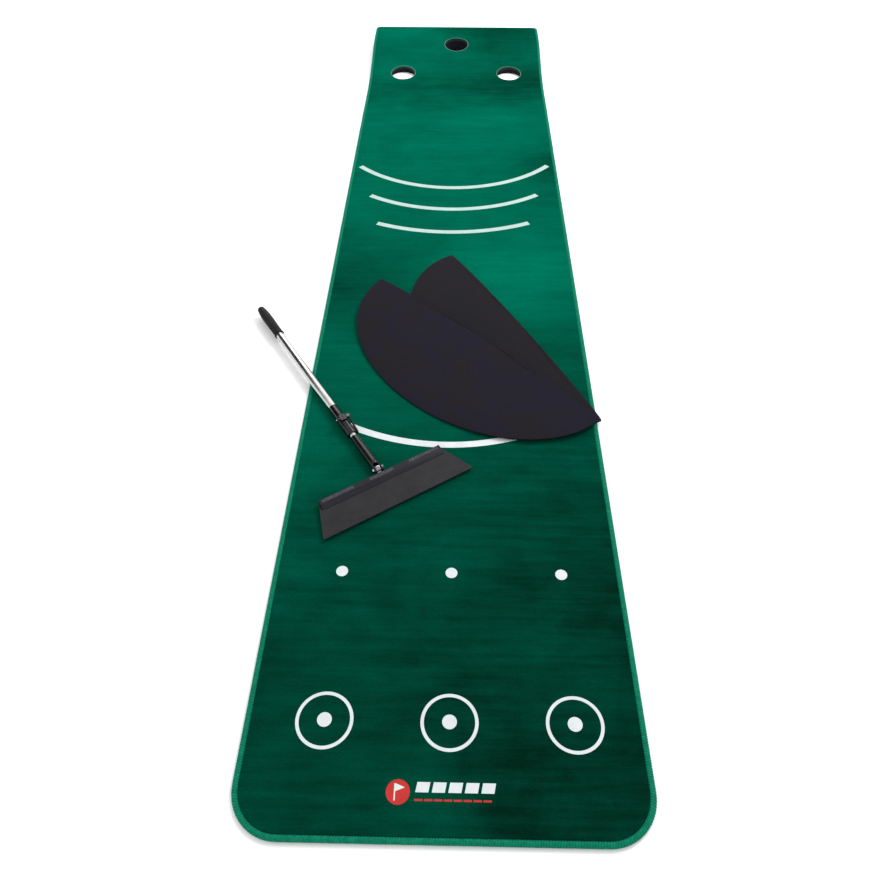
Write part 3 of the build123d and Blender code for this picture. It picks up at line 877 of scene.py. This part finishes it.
# centre x, centre y, radius of the line's middle, left end and right end, far ones first
ARCS = (
    (-0.008, 0.735, 0.401, -0.298, 0.298),
    (-0.010, 0.658, 0.446, -0.253, 0.253),
    (-0.012, 0.637, 0.546, -0.219, 0.219),
    (-0.007, -0.259, 0.463, -0.222, 0.222),
)


def raised(ob, extra):
    """Give a flat mark its thickness, standing just over the pile, with extra on top."""
    placed(ob, Matrix.Translation((0, 0, MAT_THICK + MARK_PROUD + extra)))
    with_modifier(ob, "SOLIDIFY", thickness=MARK_LOW + MARK_PROUD + extra, offset=-1.0)
    return edit(ob, outwards)


def lay(name, flats, finish, extra=0.0):
    """Join flat marks into one piece of the mat's pile."""
    dress(raised(joined(name, flats), extra), "mat", "turf", finish)


def disc(x, y, radius, sides=48):
    """A flat round spot."""
    return settle(circle("disc", sides, radius, place=(x, y, 0)))


def patch(corners):
    """A flat patch of the near mark, with three or four corners."""
    ob = circle("patch", len(corners))
    for v, (x, y) in zip(ob.data.vertices, corners):
        v.co = (x, BADGE_Y + y, 0)
    return edit(ob, outwards)


def oblong(left, right, low, high):
    """A flat patch of the near mark with square corners."""
    return patch([(left, low), (right, low), (right, high), (left, high)])


def annulus(x, y, outer, line, sides=96, keep=None):
    """A flat ring, or the part of it whose faces' centres pass keep."""
    ring = circle("ring", sides, outer, fill="NOTHING")
    inner = (outer - line) / outer
    edit(
        ring,
        all_points,
        bpy.ops.mesh.extrude_edges_move,
        lambda: bpy.ops.transform.resize(value=(inner, inner, 1)),
        outwards,
    )
    if keep:
        select_faces(ring, lambda face: not keep(face.center))
        edit(ring, lambda: bpy.ops.mesh.delete(type="FACE"))
    return placed(ring, Matrix.Translation((x, y, 0)))


class PUTTING_OT_marks(bpy.types.Operator):
    """Dye the distance arcs, the ball spots, the aiming rings and the pennant mark"""

    bl_idname = "putting.marks"
    bl_label = "Marks"

    def execute(self, context):
        sizes = context.scene.mark_sizes
        white = print_finish("pile_white", sizes.ink)
        red = print_finish("pile_red", sizes.badge)
        arcs = [self.arc(sizes.arc_line, *place) for place in ARCS]
        lay("far_arcs", arcs[:3], print_finish("pile_mint", sizes.far_ink))
        lay("near_arc", arcs[3:], white)

        spots = []
        rings = []
        for i in (-1, 0, 1):
            x = MARKS_MIDDLE + i * sizes.spacing
            spots.append(disc(x, SPOTS_Y, sizes.dot_radius * 0.93))
            x = MARKS_MIDDLE + i * sizes.ring_spacing
            spots.append(disc(x, RINGS_Y + 0.0005, sizes.dot_radius))
            rings.append(annulus(x, RINGS_Y, sizes.ring_radius, sizes.ring_line))
        lay("ball_spots", spots, white)
        lay("aiming_rings", rings, white)

        rims = []
        for x, y in CUPS:
            rim = annulus(x, y, CUP_RADIUS + RIM_WIDE, 0.002, sides=64)
            for v in rim.data.vertices:
                v.co.z = mat_height(v.co.y, MAT_THICK) - MAT_THICK
            rims.append(rim)
        lay("cup_rims", rims, print_finish("cut_pile", sizes.rim))

        # A red disc with a pennant, then plain bars with a line under them, and no lettering.
        lay("badge_disc", [disc(-0.0695, BADGE_Y, 0.0185, 64)], red)
        stick = oblong(-0.0755, -0.0735, -0.0125, 0.0125)
        pennant = patch([(-0.0735, 0.0125), (-0.0735, 0.001), (-0.059, 0.0068)])
        bars = []
        for i in range(5):
            left = -0.041 + 0.0252 * i
            bars.append(patch([(left + x, y) for x, y in BAR]))
        lay("badge_pennant", [stick, pennant, *bars], white, extra=0.0001)
        places = [-0.044 + 0.015 * i for i in range(8)]
        lay("badge_line", [oblong(x, x + 0.0125, -0.0125, -0.0095) for x in places], red)
        return {"FINISHED"}

    def arc(self, line, x, y, radius, left, right):
        """The near part of a ring, between two places across the mat."""

        def keep(centre):
            return centre.y < 0 and left < centre.x + x < right

        return annulus(x, y, radius + line / 2, line, sides=720, keep=keep)


# -------- the foam break pads --------

PAD_DEPTH = 0.248
PAD_LENGTH = 0.706
PAD_THICK = 0.0195
PAD_TIP = 0.006
# name, near end of the straight side, its heading, its lift over the mat, and how blue it is
PADS = (
    ("rear", (-0.0017, -0.0257), -61.4, 0.0, 0.9),
    ("front", (-0.185, -0.1658), -43.6, 0.0203, 1.35),
)


def pad_place(corner, heading, floor, lift):
    """Where a pad lies: local X along its straight side, +Y towards its far side."""
    turn = Matrix.Rotation(math.radians(heading), 4, "Z")
    along = turn @ Vector((1, 0, 0))
    middle = Vector((*corner, 0)) + along * (PAD_LENGTH / 2)
    tilt = Matrix.Rotation(math.asin(lift / PAD_DEPTH) if lift else 0.0, 4, "X")
    return Matrix.Translation((middle.x, middle.y, floor + lift)) @ turn @ tilt


class PUTTING_OT_pads(bpy.types.Operator):
    """Make the two foam pads, thin at the rim and crowned at the straight side"""

    bl_idname = "putting.pads"
    bl_label = "Break pads"

    def execute(self, context):
        looks = context.scene.foam_looks
        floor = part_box("rear_break_pad")[0].z
        for name, corner, heading, raise_by, cool in PADS:
            pad = self.pad(f"{name}_pad", looks)
            if raise_by:
                self.droop(pad)
            placed(pad, pad_place(corner, heading, floor, raise_by))
            smooth(pad, 60)
            finish = foam_finish(looks, f"foam_{name}", cool=cool)
            dress(pad, f"{name}_pad", "foam", finish, f"{name}_break_pad")
        return {"FINISHED"}

    def pad(self, name, looks):
        """One pad: the middle of its straight side at the origin, its underside at zero."""
        pad = circle(name, 192)
        edit(
            pad,
            all_points,
            lambda: bpy.ops.transform.resize(value=(PAD_LENGTH / 2, PAD_DEPTH, 1)),
            lambda: bisect((0, 0, 0), (0, 1, 0), clear_outer=True),
        )
        select_points(pad, lambda v: abs(v.co.x) > PAD_LENGTH / 2 - 0.002)
        edit(
            pad,
            lambda: bpy.ops.mesh.bevel(offset=PAD_TIP, segments=5, affect="VERTICES"),
            weld,
            lambda: bpy.ops.mesh.dissolve_limited(angle_limit=0.0001),
            all_points,
            lambda: extrude_by((0, 0, looks.rim)),
        )
        scale = 1.0
        height = looks.rim
        crown = PAD_THICK - looks.rim
        for i in range(1, looks.steps):
            share = math.cos(math.pi / 2 * i / looks.steps) ** 1.15
            up = looks.rim + crown * (1 - share**2) ** 0.8
            size = (share / scale, share / scale, 1)
            edit(
                pad,
                lambda: extrude_by((0, 0, up - height)),
                lambda: bpy.ops.transform.resize(value=size, center_override=(0, 0, 0)),
            )
            scale, height = share, up
        return edit(pad, outwards)

    def droop(self, pad):
        """Soft foam: the tip that nothing holds up sags towards the mat."""
        for v in pad.data.vertices:
            past = max(0.0, v.co.x / (PAD_LENGTH / 2) - 0.45) / 0.55
            upper = max(0.0, 1 + v.co.y / PAD_DEPTH)
            v.co.z -= 0.009 * past**2 * upper


# -------- the groomer --------


# the brush's outline under the head: places are measured from the pivot, away from the handle
BRUSH_START = 0.018
BRUSH_DEPTH = 0.074
BRUSH_FRONT = 0.324  # its width on the far side from the handle
BRUSH_BACK = 0.269
BRUSH_BASE = 0.001  # thickness of the sheet that the tufts are planted in


class PUTTING_OT_brush(bpy.types.Operator):
    """Plant the brush's tufts in rows under the head"""

    bl_idname = "putting.brush"
    bl_label = "Brush"

    def execute(self, context):
        looks = context.scene.tool_looks
        low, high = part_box("brush_pad")
        tall = high.z - low.z
        tuft_tall = tall - BRUSH_BASE / 2
        base = made("brush_base", bpy.ops.mesh.primitive_plane_add, size=2)
        for v in base.data.vertices:
            front = v.co.y < 0
            wide = BRUSH_FRONT / 2 if front else BRUSH_BACK / 2
            v.co = (v.co.x * wide, -BRUSH_START - BRUSH_DEPTH * front, tall)
        with_modifier(base, "SOLIDIFY", thickness=BRUSH_BASE, offset=-1.0)
        edit(base, outwards)
        pieces = [base]
        cone = {"vertices": 6, "radius1": 0.0027, "radius2": 0.0016, "depth": tuft_tall}
        tuft = made("tuft", bpy.ops.mesh.primitive_cone_add, **cone)
        rows = int(BRUSH_DEPTH / looks.tuft_pitch)
        for row in range(rows):
            share = (row + 0.5) / rows
            wide = BRUSH_BACK + (BRUSH_FRONT - BRUSH_BACK) * share
            count = int(wide / looks.tuft_pitch)
            for i in range(count):
                x = (i + 0.5 - count / 2) * looks.tuft_pitch
                y = -BRUSH_START - BRUSH_DEPTH * share
                one = tuft.copy()
                one.data = tuft.data.copy()
                context.scene.collection.objects.link(one)
                lean = 0.12 * noise.noise((x * 90, y * 90, 1))
                tip = Matrix.Rotation(math.pi + lean, 4, "X")
                turn = Matrix.Rotation(i * 1.1 + row, 4, "Z")
                placed(one, Matrix.Translation((x, y, tuft_tall / 2)) @ tip @ turn)
                pieces.append(one)
        bpy.data.objects.remove(tuft)
        brush = joined("brush", pieces)
        placed(brush, TOOL @ Matrix.Translation((0, 0, low.z - PIVOT.z)))
        smooth(brush, 50)
        bristle = moulded_finish("bristle_nylon", (0.018, 0.018, 0.019), 0.5, 900.0, 0.0003)
        dress(brush, "head", "bristle", bristle, "brush_pad")
        return {"FINISHED"}


# places along the handle from the pivot, and radii
GRIP_START = 0.499
GRIP_TAPER = 0.581
GRIP_NOSE = 0.611
GRIP_END = 0.620
TUBE_RADIUS = 0.0095
FLANGE_RADIUS = 0.0122
GRIP_RADIUS = 0.0112
NOSE_RADIUS = 0.0094
SWELL = 0.0008  # how much thicker the grip gets towards its taper
GROOVE_DEPTH = 0.0006
GROOVE_PITCH = 0.0045


class PUTTING_OT_grip(bpy.types.Operator):
    """Turn the soft grip, with its flange, grooves and rounded end"""

    bl_idname = "putting.grip"
    bl_label = "Grip"

    def execute(self, context):
        looks = context.scene.tool_looks
        grip = made("grip_sleeve", bpy.ops.mesh.primitive_plane_add, size=1)
        edit(grip, all_points, lambda: bpy.ops.mesh.merge(type="CENTER"))
        profile = self.profile()
        grip.data.vertices[0].co = (*profile[0], 0)
        for (r0, p0), (r1, p1) in zip(profile, profile[1:]):
            last = len(grip.data.vertices) - 1
            select_points(grip, lambda v: v.index == last)
            edit(grip, lambda: extrude_by((r1 - r0, p1 - p0, 0)))
        once_round = {"angle": 2 * math.pi, "center": (0, 0, 0), "axis": (0, 1, 0)}
        spin = bpy.ops.mesh.spin
        edit(grip, all_points, lambda: spin(steps=48, **once_round), weld, outwards)
        placed(grip, TOOL)
        smooth(grip, 40)
        rubber = rubber_finish("grip_rubber", looks.rubber, 1500.0)
        dress(grip, "upper_handle", "grip_rubber", rubber, "handle_grip")
        return {"FINISHED"}

    def profile(self):
        """The sleeve's outline from bore to tip, as (radius, place along the handle)."""
        bevel = 0.0006
        points = [
            (TUBE_RADIUS, GRIP_START),
            (FLANGE_RADIUS - bevel, GRIP_START),
            (FLANGE_RADIUS, GRIP_START + 0.0008),
            (FLANGE_RADIUS, GRIP_START + 0.0030),
            (FLANGE_RADIUS - bevel, GRIP_START + 0.0040),
            (GRIP_RADIUS - bevel, GRIP_START + 0.0048),
        ]
        grooves = GRIP_START + 0.009
        floor = GRIP_RADIUS - GROOVE_DEPTH
        for i in range(5):
            at = grooves + GROOVE_PITCH * i
            points += [(GRIP_RADIUS, at), (floor, at + 0.0008)]
            points += [(floor, at + 0.0014), (GRIP_RADIUS, at + 0.0022)]
        waist = grooves + 0.026
        for i in range(1, 18):
            along = i / 18
            radius = GRIP_RADIUS + SWELL * math.sin(math.pi * along**0.7 / 2)
            points.append((radius, waist + (GRIP_TAPER - waist) * along))
        widest = GRIP_RADIUS + SWELL
        for i in range(1, 7):
            along = i / 6
            radius = widest - (widest - NOSE_RADIUS) * along**1.5
            points.append((radius, GRIP_TAPER + (GRIP_NOSE - GRIP_TAPER) * along))
        for i in range(1, 9):
            turn = math.pi / 2 * i / 9
            at = GRIP_NOSE + (GRIP_END - GRIP_NOSE) * math.sin(turn)
            points.append((NOSE_RADIUS * math.cos(turn) ** 0.8, at))
        return [*points, (0.0, GRIP_END)]


class PUTTING_OT_hardware(bpy.types.Operator):
    """Finish the rigid pieces that keep the part's own shape"""

    bl_idname = "putting.hardware"
    bl_label = "Hardware"

    def execute(self, context):
        looks = context.scene.tool_looks
        head = moulded_finish("head_plastic", looks.head, 0.7, 1400.0, 0.0002, shine=0.12)
        bar = moulded_finish("bar_plastic", looks.bar, 0.6, 1400.0, 0.0002, shine=0.15)
        gloss = moulded_finish("handle_plastic", looks.gloss, 0.2, 330.0, 0.0002, shine=0.4)
        ribs = rubber_finish("rib_rubber", looks.ribs, 230.0)
        tube = metal_finish("tube_aluminium", (0.66, 0.66, 0.65), 0.26, brushed=0.00002)
        chrome = metal_finish("bright_chrome", (0.85, 0.85, 0.86), 0.1)
        eye = metal_finish("eye_steel", (0.3, 0.3, 0.31), 0.16)
        steel = metal_finish("dark_steel", (0.16, 0.16, 0.17), 0.3)
        finishes = {
            head: ("head_plate", "glide_bush"),
            bar: ("clamp_bar",),
            ribs: ("rib_inserts",),
            gloss: ("handle_socket", "clamp_collar", "clamp_thumb_nut", "clamp_lever"),
            tube: ("inner_tube", "outer_tube"),
            chrome: ("pivot_bolt", "clamp_screw"),
            eye: ("pivot_eye",),
            steel: ("pivot_nut", "head_screws", "pivot_washers", "socket_pin", "lever_pin"),
        }
        for material, nodes in finishes.items():
            for node in nodes:
                self.coat(frame["nodes"][node], material)
        return {"FINISHED"}

    def coat(self, node, material):
        """Put the material on every slot of a node, and break its sharp edges."""
        if not node.material_slots:
            node.data.materials.append(material)
        for slot in node.material_slots:
            slot.material = material
        node.modifiers.new("weld", "WELD").merge_threshold = SAME_PLACE
        bevel = node.modifiers.new("bevel", "BEVEL")
        bevel.width = 0.0003
        bevel.segments = 2
        bevel.limit_method = "ANGLE"
        bevel.angle_limit = math.radians(40)


# -------- the stage --------


class PUTTING_OT_stage(bpy.types.Operator):
    """Lay the pale floor, hang the soft lights and set up the camera"""

    bl_idname = "putting.stage"
    bl_label = "Stage"

    def execute(self, context):
        settings = context.scene.stage_settings
        add = bpy.ops.mesh.primitive_plane_add
        floor = made("studio_floor", add, size=40, location=(0, 0, -0.0005))
        floor.data.materials.append(plain_finish("studio_floor", 0.9, 0.93))

        world = bpy.data.worlds.new("studio")
        world.use_nodes = True
        shade = world.node_tree.nodes["Background"]
        shade.inputs["Color"].default_value = (1.0, 1.0, 1.0, 1.0)
        shade.inputs["Strength"].default_value = settings.fill
        context.scene.world = world
        context.scene.view_settings.view_transform = "Standard"

        self.lamp("key_light", (1.9, 1.4, 3.0), (0, -0.2, 0), 1.6, settings.key)
        self.lamp("back_light", (-0.6, 3.2, 2.6), (0, 0.2, 0), 2.0, settings.key * 0.5)
        self.card("dark_card", (-2.2, 0.5, 1.2), (-0.3, -0.5, 0.02), 2.3)

        camera = bpy.data.cameras.new("camera")
        camera.lens = settings.lens
        camera.sensor_width = 36.0
        camera.clip_end = 100.0
        eye = bpy.data.objects.new("camera", camera)
        turn = Matrix.Rotation(math.radians(settings.turn), 4, "Z")
        tilt = Matrix.Rotation(math.radians(90 - settings.look_down), 4, "X")
        eye.matrix_world = Matrix.Translation(settings.eye) @ turn @ tilt
        context.scene.collection.objects.link(eye)
        context.scene.camera = eye
        return {"FINISHED"}

    def card(self, name, place, target, size):
        """A black card that only shows in the bright pieces, where it draws their dark side."""
        card = made(name, bpy.ops.mesh.primitive_plane_add, size=size)
        placed(card, aimed(place, target))
        card.data.materials.append(plain_finish("card_black", 1.0, 0.004))
        card.visible_camera = False
        card.visible_diffuse = False
        card.visible_shadow = False

    def lamp(self, name, place, target, size, power):
        """A large soft area light that looks at the target."""
        light = bpy.data.lights.new(name, "AREA")
        light.size = size
        light.energy = power
        ob = bpy.data.objects.new(name, light)
        ob.matrix_world = aimed(place, target)
        bpy.context.scene.collection.objects.link(ob)


# -------- the add-on --------


class PUTTING_PT_panel(bpy.types.Panel):
    """Lists the putting mat's pieces"""

    bl_label = "Putting Mat"
    bl_idname = "PUTTING_PT_panel"
    bl_space_type = "VIEW_3D"
    bl_region_type = "UI"
    bl_category = "Putting Mat"

    def draw(self, context):
        for operator in OPERATORS:
            self.layout.operator(operator.bl_idname)


SETTINGS = {
    "mat_looks": MatLooks,
    "mark_sizes": MarkSizes,
    "foam_looks": FoamLooks,
    "tool_looks": ToolLooks,
    "stage_settings": StageSettings,
}
OPERATORS = (
    PUTTING_OT_ramp,
    PUTTING_OT_backing,
    PUTTING_OT_turf,
    PUTTING_OT_binding,
    PUTTING_OT_marks,
    PUTTING_OT_pads,
    PUTTING_OT_brush,
    PUTTING_OT_grip,
    PUTTING_OT_hardware,
    PUTTING_OT_stage,
)


def register():
    """Register the settings, the operators and the panel."""
    for name, group in SETTINGS.items():
        bpy.utils.register_class(group)
        setattr(bpy.types.Scene, name, PointerProperty(type=group))
    for operator in OPERATORS:
        bpy.utils.register_class(operator)
    bpy.utils.register_class(PUTTING_PT_panel)


def unregister():
    """Take them away again."""
    bpy.utils.unregister_class(PUTTING_PT_panel)
    for operator in reversed(OPERATORS):
        bpy.utils.unregister_class(operator)
    for name, group in SETTINGS.items():
        delattr(bpy.types.Scene, name)
        bpy.utils.unregister_class(group)


def main():
    """Build everything in order."""
    register()
    for operator in OPERATORS:
        group, name = operator.bl_idname.split(".")
        getattr(getattr(bpy.ops, group), name)()


if __name__ == "__main__":
    main()
